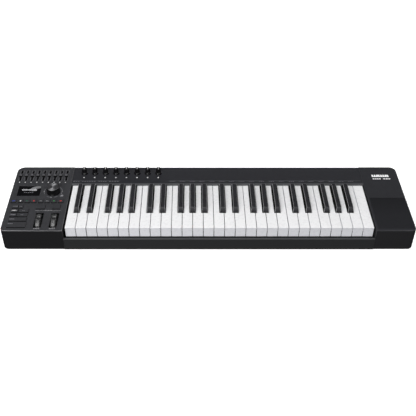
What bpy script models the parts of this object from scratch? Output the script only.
"""A 49-note MIDI keyboard: a moulded case, 49 hinged keys, knobs, faders, keypads, an encoder, two wheels.

The front of the case faces -Y, the low notes are at -X, and the feet stand on Z = 0. The constants are
in millimetres, and every helper turns them into metres. The keys lie on one row of hinges, under the
centre panel.
"""

import math

import bmesh
import bpy
from mathutils import Matrix, Vector

MM = 0.001
GAP = 0.3

# The case
CASE_WIDTH = 912
CASE_DEPTH = 230
CASE_BOTTOM = 3
FLOOR_TOP = 5.5
HOUSING_TOP = 59
WALL = 3
FRONT_CORNER = 10
BACK_LEFT_CORNER = 17
BACK_RIGHT_CORNER = 15
TOP_EDGE = 1.2
LEFT_X = -CASE_WIDTH / 2
RIGHT_X = CASE_WIDTH / 2
FRONT_Y = -CASE_DEPTH / 2
BACK_Y = CASE_DEPTH / 2
LEFT_SEAM = -320
RIGHT_SEAM = 368.5
FLOOR_INSET = 1
FOOT_RADIUS = 9
FOOT_PLACES = ((-425, -92), (-425, 92), (24, -92), (24, 92), (425, -92), (425, 92))
SCREW_RECESS_RADIUS = 3.75
SCREW_RECESS_DEPTH = 1.2
SCREW_PLACES = (
    (-436, 0),
    (-335, -100),
    (-335, 100),
    (-140, 70),
    (180, 70),
    (385, -100),
    (385, 100),
    (436, 0),
)

# The front slip, which the key fronts stand behind: a wall, a ledge, and a lower shelf behind the ledge
SLIP_TOP = 34
SLIP_LEDGE = 4.8
SLIP_WALL = 2.5
SLIP_CHAMFER = 0.8
SHELF_DEPTH = 9.5
SHELF_TOP = 30
SHELF_BOTTOM = 27

# The keys
WHITE_KEYS = 29
KEY_PITCH = 23.5
KEY_GAP = 1.3
KEYBED_LEFT = -316
KEY_FRONT = -103.5
KEY_TOP = 57
KEY_STEP_Y = 45
TAIL_TOP = 49.5
TAIL_BOTTOM = 41
TAIL_END = 98
SKIRT_BOTTOM = 45
LIP_BOTTOM = 31
LIP_THICK = 2.2
NOSE_OVERHANG = 0.8
NOSE_THICK = 2.6
KEY_SKIN = 2.2
PIVOT_Y = 92
PIVOT_Z = 41
PIVOT_GROOVE = 2.7
BLACK_WIDTH = 13.3
BLACK_TOP_WIDTH = 10.2
BLACK_FRONT = -52
BLACK_FRONT_SLOPE = 5.5
BLACK_TOP = 69
BLACK_BACK = 37.6
BLACK_BOTTOM = 47
BLACK_CLEARANCE = 1
OCTAVE = ("c", "c_sharp", "d", "d_sharp", "e", "f", "f_sharp", "g", "g_sharp", "a", "a_sharp", "b")
# How far each black key stands from the joint of the two white keys around it
BLACK_OFFSETS = {"c_sharp": -2.75, "d_sharp": 2.75, "f_sharp": -3.3, "g_sharp": 0, "a_sharp": 3.3}

# The ribs that the keys stand on and move over
RAIL_RADIUS = 2
GUIDE_Y = -85
GUIDE_THICK = 3
GUIDE_RIB_TOP = 30
GUIDE_POST_TOP = 42
GUIDE_POST_WIDTH = 5

# The centre panel
PANEL_TOP = 58.4
PANEL_THICK = 2.5
PANEL_BACK = 114.5
PANEL_EDGE_Y = 52
PANEL_BEVEL = 4
PANEL_BEVEL_DROP = 3.4
PANEL_BACK_ROUND = 1.2
USB_X = -262
USB_WIDTH = 13
USB_HEIGHT = 12
PEDAL_X = -228
PEDAL_RADIUS = 4.2
SOCKET_Z = 32

# The knobs
KNOB_COUNT = 8
KNOB_SIDES = 14
KNOB_X = -293
KNOB_PITCH = 25.27
KNOB_Y = 91
KNOB_SKIRT_RADIUS = 7.75
KNOB_TOP_RADIUS = 5.4
KNOB_HEIGHT = 15.6
KNOB_SHAFT = 3
KNOB_HOLE = 3.7
KNOB_BOARD_LOW = 51.6
KNOB_BOARD_HIGH = 53.4
KNOB_BOARD_MARGIN = 8
KNOB_BOARD_FRONT = 85
KNOB_BOARD_BACK = 98

# The faders
FADER_COUNT = 9
FADER_X = -443.3
FADER_PITCH = 13.6
FADER_Y = 81
FADER_SLOT = 40
FADER_SLOT_WIDTH = 3.4
FADER_STEM = 2.2
FADER_STEM_DEPTH = 5
FADER_CAP_WIDTH = 7.6
FADER_CAP_DEPTH = 7.6
FADER_CAP_TOP = 65
# Where the caps rest, from the middle of their slots
FADER_REST = -3.5
FADER_CARRIAGE_LOW = 50
FADER_CARRIAGE_HIGH = 52

# The two keypads
PRESS_ROOM = 0.4
FRONT_ROOM = 1.2
MAT_LOW = 52.4
MAT_HIGH = 54.4
MAT_MARGIN = 4
BUTTON_TOP = 61
TRANSPORT_COUNT = 8
TRANSPORT_X = -443.2
TRANSPORT_PITCH = 15.37
TRANSPORT_FRONT = -20
TRANSPORT_BACK = -9
TRANSPORT_WIDTH = 12.5
# The front and the back of each row, and the left and right end of each of its buttons
FUNCTION_ROWS = (
    (-39.4, -28.9, ((-444, -429.2), (-427.8, -418))),
    (-54.2, -43.5, ((-443.5, -427.4), (-425.4, -403.6))),
    (-68.7, -58.1, ((-443.5, -428.6), (-427.2, -403.6))),
    (-83.8, -72.7, ((-443.5, -403),)),
    (-104.6, -88.3, ((-444, -401.8),)),
)
OCTAVE_FRONT = -42
OCTAVE_BACK = -29
OCTAVE_BUTTONS = ((-388, -368), (-352, -334))

# The display window, the encoder and the touchpad
DISPLAY_LOW = (-441, 5)
DISPLAY_HIGH = (-388, 41)
DISPLAY_DEPTH = 1.6
ENCODER_X = -357.5
ENCODER_Y = 19.5
ENCODER_BASE_RADIUS = 16
ENCODER_TOP_RADIUS = 14.8
ENCODER_HEIGHT = 15
ENCODER_SHAFT = 3
ENCODER_HOLE = 4
TOUCHPAD_LOW = (372.5, -108)
TOUCHPAD_HIGH = (453, -2)
TOUCHPAD_DEPTH = 1

# The wheels
WHEEL_PLACES = {"pitch_wheel": -376.3, "modulation_wheel": -342}
WHEEL_Y = -80
WHEEL_RADIUS = 26
WHEEL_WIDTH = 12.5
WHEEL_ROUND = 2
WHEEL_SIDES = 30
WHEEL_Z = HOUSING_TOP + 9 - WHEEL_RADIUS
WHEEL_SLOT_WIDTH = 17.5
WHEEL_SLOT_LENGTH = 49
AXLE_RADIUS = 2.5
AXLE_HALF = 10.5
AXLE_HOLE = 3
EAR_THICK = 2.2
EAR_DEPTH = 14
EAR_DROP = 7

# Outlines drawn in X and Y are turned by this to lie in Y and Z, as thick as they were tall
SIDE_ON = Matrix(((0, 0, 1, 0), (1, 0, 0, 0), (0, 1, 0, 0), (0, 0, 0, 1)))


def clear_scene():
    for obj in list(bpy.data.objects):
        bpy.data.objects.remove(obj)


def material(name, colour, roughness, metallic=0.0):
    made = bpy.data.materials.new(name)
    made.use_nodes = True
    shader = made.node_tree.nodes["Principled BSDF"]
    shader.inputs["Base Color"].default_value = (*colour, 1)
    shader.inputs["Roughness"].default_value = roughness
    shader.inputs["Metallic"].default_value = metallic
    return made


def new_object(name, shape):
    """An object of a bmesh, with its origin at the origin of the world."""
    bmesh.ops.recalc_face_normals(shape, faces=shape.faces)
    mesh = bpy.data.meshes.new(name)
    shape.to_mesh(mesh)
    shape.free()
    obj = bpy.data.objects.new(name, mesh)
    bpy.context.scene.collection.objects.link(obj)
    return obj


def evaluated_mesh(obj):
    bpy.context.view_layer.update()
    return bpy.data.meshes.new_from_object(obj.evaluated_get(bpy.context.evaluated_depsgraph_get()))


def combine(target, other, operation):
    """Cuts other from target, or joins it on, and removes other."""
    modifier = target.modifiers.new(operation.lower(), "BOOLEAN")
    modifier.operation = operation
    modifier.object = other
    target.data = evaluated_mesh(target)
    target.modifiers.clear()
    bpy.data.objects.remove(other)


def cut(target, *cutters):
    for cutter in cutters:
        combine(target, cutter, "DIFFERENCE")


def join(target, *others):
    for other in others:
        combine(target, other, "UNION")


def boxes(name, corners):
    """One object of separate boxes, each given by its lowest and highest corner."""
    shape = bmesh.new()
    for low, high in corners:
        low, high = Vector(low) * MM, Vector(high) * MM
        stretch = Matrix.Diagonal((*(high - low), 1))
        bmesh.ops.create_cube(shape, size=1, matrix=Matrix.Translation((low + high) / 2) @ stretch)
    return new_object(name, shape)


def rods(name, places, radius, low, high, sides=16):
    """One object of separate upright cylinders of one size."""
    shape = bmesh.new()
    for x, y in places:
        middle = Vector((x, y, (low + high) / 2)) * MM
        bmesh.ops.create_cone(
            shape,
            cap_ends=True,
            segments=sides,
            radius1=radius * MM,
            radius2=radius * MM,
            depth=(high - low) * MM,
            matrix=Matrix.Translation(middle),
        )
    return new_object(name, shape)


def rounded(corners, steps=6):
    """Points through corners (x, y, radius), with an arc of that radius at each."""
    points = []
    for i, (x, y, radius) in enumerate(corners):
        corner = Vector((x, y))
        if not radius:
            points.append(corner)
            continue
        before = (Vector(corners[i - 1][:2]) - corner).normalized()
        after = (Vector(corners[(i + 1) % len(corners)][:2]) - corner).normalized()
        half = before.angle(after) / 2
        centre = corner + (before + after).normalized() * (radius / math.sin(half))
        arm = corner + before * (radius / math.tan(half)) - centre
        turn = (math.pi - 2 * half) * math.copysign(1, before.cross(after) * -1)
        for k in range(steps + 1):
            points.append(centre + Matrix.Rotation(turn * k / steps, 2) @ arm)
    return points


def prism(name, points, low, high, lie=Matrix()):
    """A flat outline made as thick as from low to high. SIDE_ON makes it an outline in Y and Z, along X."""
    curve = bpy.data.curves.new(name, "CURVE")
    curve.dimensions = "2D"
    curve.fill_mode = "BOTH"
    curve.extrude = (high - low) / 2 * MM
    spline = curve.splines.new("POLY")
    spline.points.add(len(points) - 1)
    for point, (x, y) in zip(spline.points, points):
        point.co = (x * MM, y * MM, 0, 1)
    spline.use_cyclic_u = True
    drawn = bpy.data.objects.new(name, curve)
    bpy.context.scene.collection.objects.link(drawn)
    shape = bmesh.new()
    shape.from_mesh(evaluated_mesh(drawn))
    bpy.data.objects.remove(drawn)
    bmesh.ops.remove_doubles(shape, verts=shape.verts, dist=0.001 * MM)
    bmesh.ops.dissolve_limit(shape, angle_limit=math.radians(0.5), verts=shape.verts, edges=shape.edges)
    shape.transform(lie @ Matrix.Translation((0, 0, (low + high) / 2 * MM)))
    return new_object(name, shape)


def turned(name, profile, steps, lie=Matrix()):
    """A shape turned about Z from (radius, height) points, which run down its outer side."""
    shape = bmesh.new()
    points = [shape.verts.new((radius * MM, 0, height * MM)) for radius, height in profile]
    for above, below in zip(points, points[1:]):
        shape.edges.new((above, below))
    obj = new_object(name, shape)
    screw = obj.modifiers.new("turn", "SCREW")
    screw.steps = steps
    screw.render_steps = steps
    screw.use_merge_vertices = True
    screw.merge_threshold = 0.00001
    obj.data = evaluated_mesh(obj)
    obj.modifiers.clear()
    obj.data.transform(lie)
    return obj


def soften_top(obj, top, width):
    """A small round on the outer edge of an upright solid's flat top."""
    shape = bmesh.new()
    shape.from_mesh(obj.data)
    rim = [e for e in shape.edges if all(abs(v.co.z - top * MM) < 1e-6 for v in e.verts)]
    bmesh.ops.bevel(shape, geom=rim, offset=width * MM, segments=2, profile=0.5, affect="EDGES")
    shape.to_mesh(obj.data)
    shape.free()


def mesh_of(obj):
    """The object's mesh, on its own: the object is removed."""
    mesh = obj.data
    bpy.data.objects.remove(obj)
    return mesh


def finish(obj, look, collection, pivot=(0, 0, 0)):
    """Gives the object its material, smooth rounds and origin, and puts it in the keyboard's collection."""
    origin = Vector(pivot) * MM
    obj.data.transform(Matrix.Translation(-origin))
    obj.location = origin
    obj.data.materials.clear()
    obj.data.materials.append(look)
    obj.data.shade_smooth()
    obj.data.set_sharp_from_angle(angle=math.radians(35))
    bpy.context.scene.collection.objects.unlink(obj)
    collection.objects.link(obj)


def bottom_case():
    """The tray: floor, feet, front slip, the rail that the keys hinge on, and their guide posts."""
    inset = FLOOR_INSET
    floor = prism(
        "bottom_case",
        rounded(
            (
                (LEFT_X + inset, FRONT_Y + inset, FRONT_CORNER),
                (RIGHT_X - inset, FRONT_Y + inset, FRONT_CORNER),
                (RIGHT_X - inset, BACK_Y - inset, BACK_RIGHT_CORNER),
                (LEFT_X + inset, BACK_Y - inset, BACK_LEFT_CORNER),
            )
        ),
        CASE_BOTTOM,
        FLOOR_TOP,
    )
    ledge_back = FRONT_Y + SLIP_LEDGE
    shelf_back = FRONT_Y + SHELF_DEPTH
    wall_back = FRONT_Y + SLIP_WALL
    slip = prism(
        "slip",
        (
            (FRONT_Y, CASE_BOTTOM),
            (FRONT_Y, SLIP_TOP - SLIP_CHAMFER),
            (FRONT_Y + SLIP_CHAMFER, SLIP_TOP),
            (ledge_back, SLIP_TOP),
            (ledge_back, SHELF_TOP),
            (shelf_back, SHELF_TOP),
            (shelf_back, SHELF_BOTTOM),
            (wall_back, SHELF_BOTTOM),
            (wall_back, CASE_BOTTOM),
        ),
        LEFT_SEAM + GAP,
        RIGHT_SEAM - GAP,
        SIDE_ON,
    )
    arc = [math.radians(180 - 30 * k) for k in range(7)]
    rail = prism(
        "hinge_rail",
        [(PIVOT_Y - RAIL_RADIUS, CASE_BOTTOM + 1)]
        + [(PIVOT_Y + RAIL_RADIUS * math.cos(a), PIVOT_Z + RAIL_RADIUS * math.sin(a)) for a in arc]
        + [(PIVOT_Y + RAIL_RADIUS, CASE_BOTTOM + 1)],
        LEFT_SEAM + WALL,
        RIGHT_SEAM - WALL,
        SIDE_ON,
    )
    guide_front = GUIDE_Y - GUIDE_THICK / 2
    guide_back = GUIDE_Y + GUIDE_THICK / 2
    rib_ends = (LEFT_SEAM + WALL, RIGHT_SEAM - WALL)
    rib_low = CASE_BOTTOM + 1
    rib = boxes("rib", [((rib_ends[0], guide_front, rib_low), (rib_ends[1], guide_back, GUIDE_RIB_TOP))])
    centres = [KEYBED_LEFT + KEY_PITCH * (i + 0.5) for i in range(WHITE_KEYS)]
    half = GUIDE_POST_WIDTH / 2
    posts = boxes(
        "posts",
        [
            ((x - half, guide_front + GAP, GUIDE_RIB_TOP - 2), (x + half, guide_back - GAP, GUIDE_POST_TOP))
            for x in centres
        ],
    )
    join(rib, posts)
    feet = rods("feet", FOOT_PLACES, FOOT_RADIUS, 0, CASE_BOTTOM + 1, sides=20)
    join(floor, slip, rail, rib, feet)
    recess_top = CASE_BOTTOM + SCREW_RECESS_DEPTH
    cut(floor, rods("recesses", SCREW_PLACES, SCREW_RECESS_RADIUS, CASE_BOTTOM - 1, recess_top, sides=12))
    return floor


def housing(name, corners, inner_corners):
    """An end housing: a shell that is closed on top and at its sides, and open below."""
    shell = prism(name, rounded(corners), FLOOR_TOP + GAP, HOUSING_TOP)
    soften_top(shell, HOUSING_TOP, TOP_EDGE)
    cut(shell, prism("hollow", rounded(inner_corners), 0, HOUSING_TOP - WALL))
    return shell


def wheel_ears(x):
    """Two plates that hang from the left housing's top and hold a wheel's axle."""
    inner = WHEEL_SLOT_WIDTH / 2
    spans = ((x - inner - EAR_THICK, x - inner), (x + inner, x + inner + EAR_THICK))
    top = HOUSING_TOP - WALL / 2
    return boxes(
        "ears",
        [
            ((low, WHEEL_Y - EAR_DEPTH / 2, WHEEL_Z - EAR_DROP), (high, WHEEL_Y + EAR_DEPTH / 2, top))
            for low, high in spans
        ],
    )


def axle_hole(x):
    hole = rods("axle_hole", [(0, 0)], AXLE_HOLE, -AXLE_HALF - EAR_THICK, AXLE_HALF + EAR_THICK, sides=16)
    hole.data.transform(Matrix.Translation(Vector((x, WHEEL_Y, WHEEL_Z)) * MM) @ SIDE_ON)
    return hole


def top_openings(rectangles, low=HOUSING_TOP - WALL - 1):
    """A cutter for rectangular openings (low x, high x, low y, high y) through a housing's top."""
    return boxes("openings", [((x0, y0, low), (x1, y1, HOUSING_TOP + 1)) for x0, x1, y0, y1 in rectangles])


def transport_buttons():
    """(low x, high x) of each transport button."""
    centres = [TRANSPORT_X + TRANSPORT_PITCH * i for i in range(TRANSPORT_COUNT)]
    return [(x - TRANSPORT_WIDTH / 2, x + TRANSPORT_WIDTH / 2) for x in centres]


def fader_centres():
    return [FADER_X + FADER_PITCH * i for i in range(FADER_COUNT)]


def keypad_openings():
    """(low x, high x, low y, high y) of the buttons' openings. A row of function buttons shares one."""
    room = PRESS_ROOM
    rows = [(TRANSPORT_FRONT, TRANSPORT_BACK, (button,)) for button in transport_buttons()]
    rows += [(OCTAVE_FRONT, OCTAVE_BACK, (button,)) for button in OCTAVE_BUTTONS]
    rows += FUNCTION_ROWS
    return [
        (buttons[0][0] - room, buttons[-1][1] + room, front - FRONT_ROOM, back + room)
        for front, back, buttons in rows
    ]


def left_housing():
    """The left housing, with the wheels' ears and every opening for the controls."""
    inner_right = LEFT_SEAM - WALL
    shell = housing(
        "left_housing",
        (
            (LEFT_X, FRONT_Y, FRONT_CORNER),
            (LEFT_SEAM, FRONT_Y, 0),
            (LEFT_SEAM, BACK_Y, 0),
            (LEFT_X, BACK_Y, BACK_LEFT_CORNER),
        ),
        (
            (LEFT_X + WALL, FRONT_Y + WALL, FRONT_CORNER - WALL),
            (inner_right, FRONT_Y + WALL, 0),
            (inner_right, BACK_Y - WALL, 0),
            (LEFT_X + WALL, BACK_Y - WALL, BACK_LEFT_CORNER - WALL),
        ),
    )
    for x in WHEEL_PLACES.values():
        join(shell, wheel_ears(x))
        cut(shell, axle_hole(x))
    slot = FADER_SLOT_WIDTH / 2
    fader_slots = [
        (x - slot, x + slot, FADER_Y - FADER_SLOT / 2, FADER_Y + FADER_SLOT / 2) for x in fader_centres()
    ]
    half_width = WHEEL_SLOT_WIDTH / 2
    half_length = WHEEL_SLOT_LENGTH / 2
    wheel_slots = [
        (x - half_width, x + half_width, WHEEL_Y - half_length, WHEEL_Y + half_length)
        for x in WHEEL_PLACES.values()
    ]
    cut(
        shell,
        top_openings(fader_slots + wheel_slots + keypad_openings()),
        top_openings(
            [(DISPLAY_LOW[0], DISPLAY_HIGH[0], DISPLAY_LOW[1], DISPLAY_HIGH[1])],
            HOUSING_TOP - DISPLAY_DEPTH,
        ),
        rods(
            "encoder_hole",
            [(ENCODER_X, ENCODER_Y)],
            ENCODER_HOLE,
            HOUSING_TOP - WALL - 1,
            HOUSING_TOP + 1,
        ),
    )
    return shell


def right_housing():
    """The right housing, with the shallow recess that the touchpad lies in."""
    inner_left = RIGHT_SEAM + WALL
    shell = housing(
        "right_housing",
        (
            (RIGHT_SEAM, FRONT_Y, 0),
            (RIGHT_X, FRONT_Y, FRONT_CORNER),
            (RIGHT_X, BACK_Y, BACK_RIGHT_CORNER),
            (RIGHT_SEAM, BACK_Y, 0),
        ),
        (
            (inner_left, FRONT_Y + WALL, 0),
            (RIGHT_X - WALL, FRONT_Y + WALL, FRONT_CORNER - WALL),
            (RIGHT_X - WALL, BACK_Y - WALL, BACK_RIGHT_CORNER - WALL),
            (inner_left, BACK_Y - WALL, 0),
        ),
    )
    recess = [(TOUCHPAD_LOW[0], TOUCHPAD_HIGH[0], TOUCHPAD_LOW[1], TOUCHPAD_HIGH[1])]
    cut(shell, top_openings(recess, HOUSING_TOP - TOUCHPAD_DEPTH))
    return shell


def knob_places():
    return [(KNOB_X + KNOB_PITCH * i, KNOB_Y) for i in range(KNOB_COUNT)]


def centre_panel():
    """The cover behind the keys: bevelled at the front, and turned down at the back to hold the sockets."""
    thick = PANEL_THICK
    bottom = FLOOR_TOP + GAP
    bevel_y = PANEL_EDGE_Y - PANEL_BEVEL
    bevel_z = PANEL_TOP - PANEL_BEVEL_DROP
    panel = prism(
        "centre_panel",
        rounded(
            (
                (bevel_y, bevel_z, 0),
                (PANEL_EDGE_Y, PANEL_TOP, 0),
                (PANEL_BACK, PANEL_TOP, PANEL_BACK_ROUND),
                (PANEL_BACK, bottom, 0),
                (PANEL_BACK - thick, bottom, 0),
                (PANEL_BACK - thick, PANEL_TOP - thick, 1),
                (PANEL_EDGE_Y + 1, PANEL_TOP - thick, 0),
                (bevel_y + 1, bevel_z - 1, 0),
            ),
            steps=4,
        ),
        LEFT_SEAM + GAP,
        RIGHT_SEAM - GAP,
        SIDE_ON,
    )
    usb = boxes(
        "usb_opening",
        [
            (
                (USB_X - USB_WIDTH / 2, PANEL_BACK - thick - 1, SOCKET_Z - USB_HEIGHT / 2),
                (USB_X + USB_WIDTH / 2, PANEL_BACK + 1, SOCKET_Z + USB_HEIGHT / 2),
            )
        ],
    )
    pedal = rods("pedal_opening", [(0, 0)], PEDAL_RADIUS, -thick - 1, thick + 1)
    place = Matrix.Translation(Vector((PEDAL_X, PANEL_BACK, SOCKET_Z)) * MM)
    pedal.data.transform(place @ Matrix.Rotation(math.pi / 2, 4, "X"))
    holes = rods("knob_holes", knob_places(), KNOB_HOLE, PANEL_TOP - thick - 1, PANEL_TOP + 1, sides=12)
    cut(panel, usb, pedal, holes)
    return panel


def knob_row():
    """Eight knobs on the board that holds their shafts, under the centre panel."""
    places = knob_places()
    board = boxes(
        "knob_row",
        [
            (
                (places[0][0] - KNOB_BOARD_MARGIN, KNOB_BOARD_FRONT, KNOB_BOARD_LOW),
                (places[-1][0] + KNOB_BOARD_MARGIN, KNOB_BOARD_BACK, KNOB_BOARD_HIGH),
            )
        ],
    )
    foot = PANEL_TOP + GAP
    top = PANEL_TOP + KNOB_HEIGHT
    profile = (
        (0, top),
        (KNOB_TOP_RADIUS, top),
        (KNOB_TOP_RADIUS + 0.8, foot + 4),
        (KNOB_SKIRT_RADIUS, foot + 2.5),
        (KNOB_SKIRT_RADIUS, foot),
        (KNOB_SHAFT, foot),
        (KNOB_SHAFT, KNOB_BOARD_LOW + 0.5),
        (0, KNOB_BOARD_LOW + 0.5),
    )
    for x, y in places:
        join(board, turned("knob", profile, KNOB_SIDES, Matrix.Translation(Vector((x, y, 0)) * MM)))
    return board


def fader_bank():
    """Nine fader caps, whose stems pass through their slots to one carriage."""
    xs = fader_centres()
    y = FADER_Y + FADER_REST
    stem = FADER_STEM / 2
    stem_depth = FADER_STEM_DEPTH / 2
    cap = FADER_CAP_WIDTH / 2
    cap_depth = FADER_CAP_DEPTH / 2
    carriage = boxes(
        "fader_bank",
        [
            (
                (xs[0] - FADER_STEM, y - cap_depth, FADER_CARRIAGE_LOW),
                (xs[-1] + FADER_STEM, y + cap_depth, FADER_CARRIAGE_HIGH),
            )
        ],
    )
    stems = [
        ((x - stem, y - stem_depth, FADER_CARRIAGE_HIGH - 1), (x + stem, y + stem_depth, HOUSING_TOP + 2))
        for x in xs
    ]
    caps = [
        ((x - cap, y - cap_depth, HOUSING_TOP + GAP), (x + cap, y + cap_depth, FADER_CAP_TOP))
        for x in xs
    ]
    join(carriage, boxes("stems", stems), boxes("caps", caps))
    return carriage


def mat(name, areas, buttons):
    """A rubber mat of overlapping rectangular areas, with buttons (x0, x1, y0, y1) that stand on it."""
    sheet = boxes(name, [((x0, y0, MAT_LOW), (x1, y1, MAT_HIGH)) for x0, x1, y0, y1 in areas[:1]])
    for x0, x1, y0, y1 in areas[1:]:
        join(sheet, boxes("arm", [((x0, y0, MAT_LOW), (x1, y1, MAT_HIGH))]))
    raised = [((x0, y0, MAT_HIGH - 1), (x1, y1, BUTTON_TOP)) for x0, x1, y0, y1 in buttons]
    join(sheet, boxes("buttons", raised))
    return sheet


def transport_keypad():
    buttons = [(x0, x1, TRANSPORT_FRONT, TRANSPORT_BACK) for x0, x1 in transport_buttons()]
    area = (buttons[0][0] - 2, buttons[-1][1] + 2, TRANSPORT_FRONT - 1, TRANSPORT_BACK + 1)
    return mat("transport_keypad", [area], buttons)


def function_keypad():
    """The left column of buttons and the two octave buttons, on one mat shaped like an L."""
    buttons = [(x0, x1, front, back) for front, back, row in FUNCTION_ROWS for x0, x1 in row]
    buttons += [(x0, x1, OCTAVE_FRONT, OCTAVE_BACK) for x0, x1 in OCTAVE_BUTTONS]
    left = min(b[0] for b in buttons) - MAT_MARGIN / 2
    column_right = max(b[1] for b in buttons[:-2]) + MAT_MARGIN
    back = OCTAVE_BACK + 1
    areas = [
        (left, column_right, min(b[2] for b in buttons) - MAT_MARGIN, back),
        (left + 1, buttons[-1][1] + 2, OCTAVE_FRONT - MAT_MARGIN, back - 0.5),
    ]
    return mat("function_keypad", areas, buttons)


def encoder_knob():
    foot = HOUSING_TOP + GAP
    top = HOUSING_TOP + ENCODER_HEIGHT
    return turned(
        "encoder_knob",
        (
            (0, top),
            (ENCODER_TOP_RADIUS - 0.8, top),
            (ENCODER_TOP_RADIUS, top - 0.8),
            (ENCODER_TOP_RADIUS + 0.5, foot + 3.2),
            (ENCODER_BASE_RADIUS, foot + 2.2),
            (ENCODER_BASE_RADIUS, foot),
            (ENCODER_SHAFT, foot),
            (ENCODER_SHAFT, FADER_CARRIAGE_HIGH - 1),
            (0, FADER_CARRIAGE_HIGH - 1),
        ),
        32,
        Matrix.Translation(Vector((ENCODER_X, ENCODER_Y, 0)) * MM),
    )


def wheel(name, x):
    """A wheel with its two axle stubs, turned about Z and then laid along X."""
    half = WHEEL_WIDTH / 2
    rounding = [math.radians(90 - 30 * k) for k in range(4)]
    inner = WHEEL_RADIUS - WHEEL_ROUND
    centre = half - WHEEL_ROUND
    upper = [(inner + WHEEL_ROUND * math.cos(a), centre + WHEEL_ROUND * math.sin(a)) for a in rounding]
    half_profile = [(0, AXLE_HALF), (AXLE_RADIUS, AXLE_HALF), (AXLE_RADIUS, half)] + upper
    profile = half_profile + [(radius, -height) for radius, height in reversed(half_profile)]
    lie = Matrix.Translation(Vector((x, WHEEL_Y, WHEEL_Z)) * MM) @ SIDE_ON
    return turned(name, profile, WHEEL_SIDES, lie)


def pivot_groove(width):
    """A cutter for the round groove under a key's tail, where it sits on the hinge rail."""
    groove = rods("groove", [(0, 0)], PIVOT_GROOVE, -width, width, sides=16)
    groove.data.transform(Matrix.Translation(Vector((0, PIVOT_Y, PIVOT_Z)) * MM) @ SIDE_ON)
    return groove


def white_key(left_notch, right_notch):
    """A white key about X = 0, hollow below, cut back at each side where a black key stands."""
    half = (KEY_PITCH - KEY_GAP) / 2
    skirt_front = KEY_FRONT + NOSE_OVERHANG
    lip_back = skirt_front + LIP_THICK
    key = prism(
        "white_key",
        (
            (KEY_FRONT, KEY_TOP),
            (KEY_FRONT, KEY_TOP - NOSE_THICK),
            (skirt_front, KEY_TOP - NOSE_THICK - NOSE_OVERHANG),
            (skirt_front, LIP_BOTTOM),
            (lip_back, LIP_BOTTOM),
            (lip_back, SKIRT_BOTTOM),
            (KEY_STEP_Y - 10, SKIRT_BOTTOM),
            (KEY_STEP_Y, TAIL_BOTTOM),
            (TAIL_END, TAIL_BOTTOM),
            (TAIL_END, TAIL_TOP),
            (KEY_STEP_Y, TAIL_TOP),
            (KEY_STEP_Y, KEY_TOP),
        ),
        -half,
        half,
        SIDE_ON,
    )
    notch_front = BLACK_FRONT - BLACK_CLEARANCE
    neck_left = -half + left_notch
    neck_right = half - right_notch
    for notch, x0, x1 in ((left_notch, -half - 1, neck_left), (right_notch, neck_right, half + 1)):
        if notch:
            cut(key, boxes("notch", [((x0, notch_front, 0), (x1, TAIL_END + 1, KEY_TOP + 1))]))
    roof = KEY_TOP - KEY_SKIN
    hollows = (
        ((-half + KEY_SKIN, lip_back, 0), (half - KEY_SKIN, notch_front - KEY_SKIN, roof)),
        (
            (neck_left + KEY_SKIN, notch_front - KEY_SKIN - 1, 0),
            (neck_right - KEY_SKIN, KEY_STEP_Y - 12, roof),
        ),
    )
    hollow = boxes("hollow", hollows[:1])
    join(hollow, boxes("neck_hollow", hollows[1:]))
    cut(key, hollow, pivot_groove(2 * KEY_PITCH))
    return mesh_of(key)


def black_key():
    """A black key about X = 0, with sides that lean in above the white keys."""
    half = BLACK_WIDTH / 2
    block = prism(
        "black_key",
        (
            (BLACK_FRONT, BLACK_BOTTOM),
            (BLACK_FRONT, KEY_TOP),
            (BLACK_FRONT + BLACK_FRONT_SLOPE, BLACK_TOP),
            (BLACK_BACK, BLACK_TOP),
            (BLACK_BACK, TAIL_TOP),
            (TAIL_END, TAIL_TOP),
            (TAIL_END, TAIL_BOTTOM),
            (BLACK_BACK + 8, TAIL_BOTTOM),
            (BLACK_BACK, BLACK_BOTTOM),
        ),
        -half,
        half,
        SIDE_ON,
    )
    shape = bmesh.new()
    shape.from_mesh(block.data)
    everything = shape.verts[:] + shape.edges[:] + shape.faces[:]
    bmesh.ops.bisect_plane(shape, geom=everything, plane_co=(0, 0, KEY_TOP * MM), plane_no=(0, 0, 1))
    for vert in shape.verts:
        if vert.co.z > (BLACK_TOP - 1) * MM:
            vert.co.x *= BLACK_TOP_WIDTH / BLACK_WIDTH
    shape.to_mesh(block.data)
    shape.free()
    low = (-half + KEY_SKIN, BLACK_FRONT + KEY_SKIN, 0)
    high = (half - KEY_SKIN, BLACK_BACK - KEY_SKIN, KEY_TOP)
    cut(block, boxes("hollow", [(low, high)]), pivot_groove(2 * KEY_PITCH))
    return mesh_of(block)


def notches(note, last):
    """How far a white key is cut back at its left and right."""
    reach = BLACK_WIDTH / 2 + BLACK_CLEARANCE - KEY_GAP / 2
    place = OCTAVE.index(note)
    before = OCTAVE[place - 1] if place else None
    after = OCTAVE[place + 1] if place + 1 < len(OCTAVE) and not last else None
    left = reach + BLACK_OFFSETS[before] if before in BLACK_OFFSETS else 0
    right = reach - BLACK_OFFSETS[after] if after in BLACK_OFFSETS else 0
    return left, right


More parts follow.
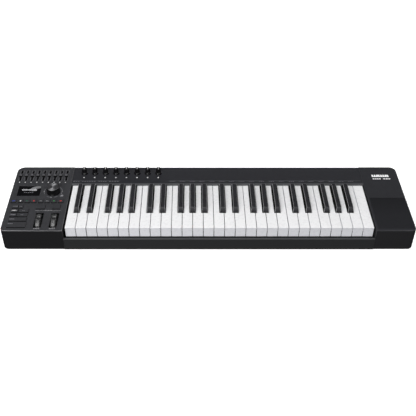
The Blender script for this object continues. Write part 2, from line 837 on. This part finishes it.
def keys():
    """(name, mesh, x, is white) of every key, lowest note first. Keys of one shape share their mesh."""
    shapes = {}
    black_mesh = black_key()
    made = []
    white_count = 0
    note_count = 0
    while white_count < WHITE_KEYS:
        note = OCTAVE[note_count % len(OCTAVE)]
        note_count += 1
        joint_x = KEYBED_LEFT + KEY_PITCH * white_count
        if note in BLACK_OFFSETS:
            x = joint_x + BLACK_OFFSETS[note]
            mesh = black_mesh
        else:
            white_count += 1
            x = joint_x + KEY_PITCH / 2
            notch = notches(note, white_count == WHITE_KEYS)
            if notch not in shapes:
                shapes[notch] = white_key(*notch)
            mesh = shapes[notch]
        made.append((f"key_{note_count:02d}_{note}", mesh, x, note not in BLACK_OFFSETS))
    return made


def place_keys(white_look, black_look, collection):
    """Puts each key on the hinge axis, which its origin lies on."""
    placed = keys()
    origin = Matrix.Translation(Vector((0, -PIVOT_Y, -PIVOT_Z)) * MM)
    for mesh in {entry[1] for entry in placed}:
        is_white = next(entry[3] for entry in placed if entry[1] == mesh)
        mesh.transform(origin)
        mesh.materials.clear()
        mesh.materials.append(white_look if is_white else black_look)
    for name, mesh, x, _ in placed:
        key = bpy.data.objects.new(name, mesh)
        key.location = Vector((x, PIVOT_Y, PIVOT_Z)) * MM
        collection.objects.link(key)


def main():
    clear_scene()
    collection = bpy.data.collections.new("midi_keyboard")
    bpy.context.scene.collection.children.link(collection)
    case_plastic = material("case_plastic", (0.03, 0.03, 0.033), 0.55)
    housing_plastic = material("housing_plastic", (0.036, 0.036, 0.04), 0.5)
    knob_plastic = material("knob_plastic", (0.012, 0.012, 0.013), 0.4)
    keypad_rubber = material("keypad_rubber", (0.03, 0.03, 0.034), 0.7)
    wheel_rubber = material("wheel_rubber", (0.018, 0.018, 0.02), 0.6)
    white_plastic = material("white_key_plastic", (0.85, 0.85, 0.86), 0.3)
    black_plastic = material("black_key_plastic", (0.012, 0.012, 0.013), 0.35)
    finish(bottom_case(), case_plastic, collection)
    finish(left_housing(), housing_plastic, collection)
    finish(right_housing(), housing_plastic, collection)
    finish(centre_panel(), case_plastic, collection)
    finish(knob_row(), knob_plastic, collection)
    finish(fader_bank(), knob_plastic, collection)
    finish(transport_keypad(), keypad_rubber, collection)
    finish(function_keypad(), keypad_rubber, collection)
    finish(encoder_knob(), knob_plastic, collection, (ENCODER_X, ENCODER_Y, HOUSING_TOP))
    for name, x in WHEEL_PLACES.items():
        finish(wheel(name, x), wheel_rubber, collection, (x, WHEEL_Y, WHEEL_Z))
    place_keys(white_plastic, black_plastic, collection)


main()
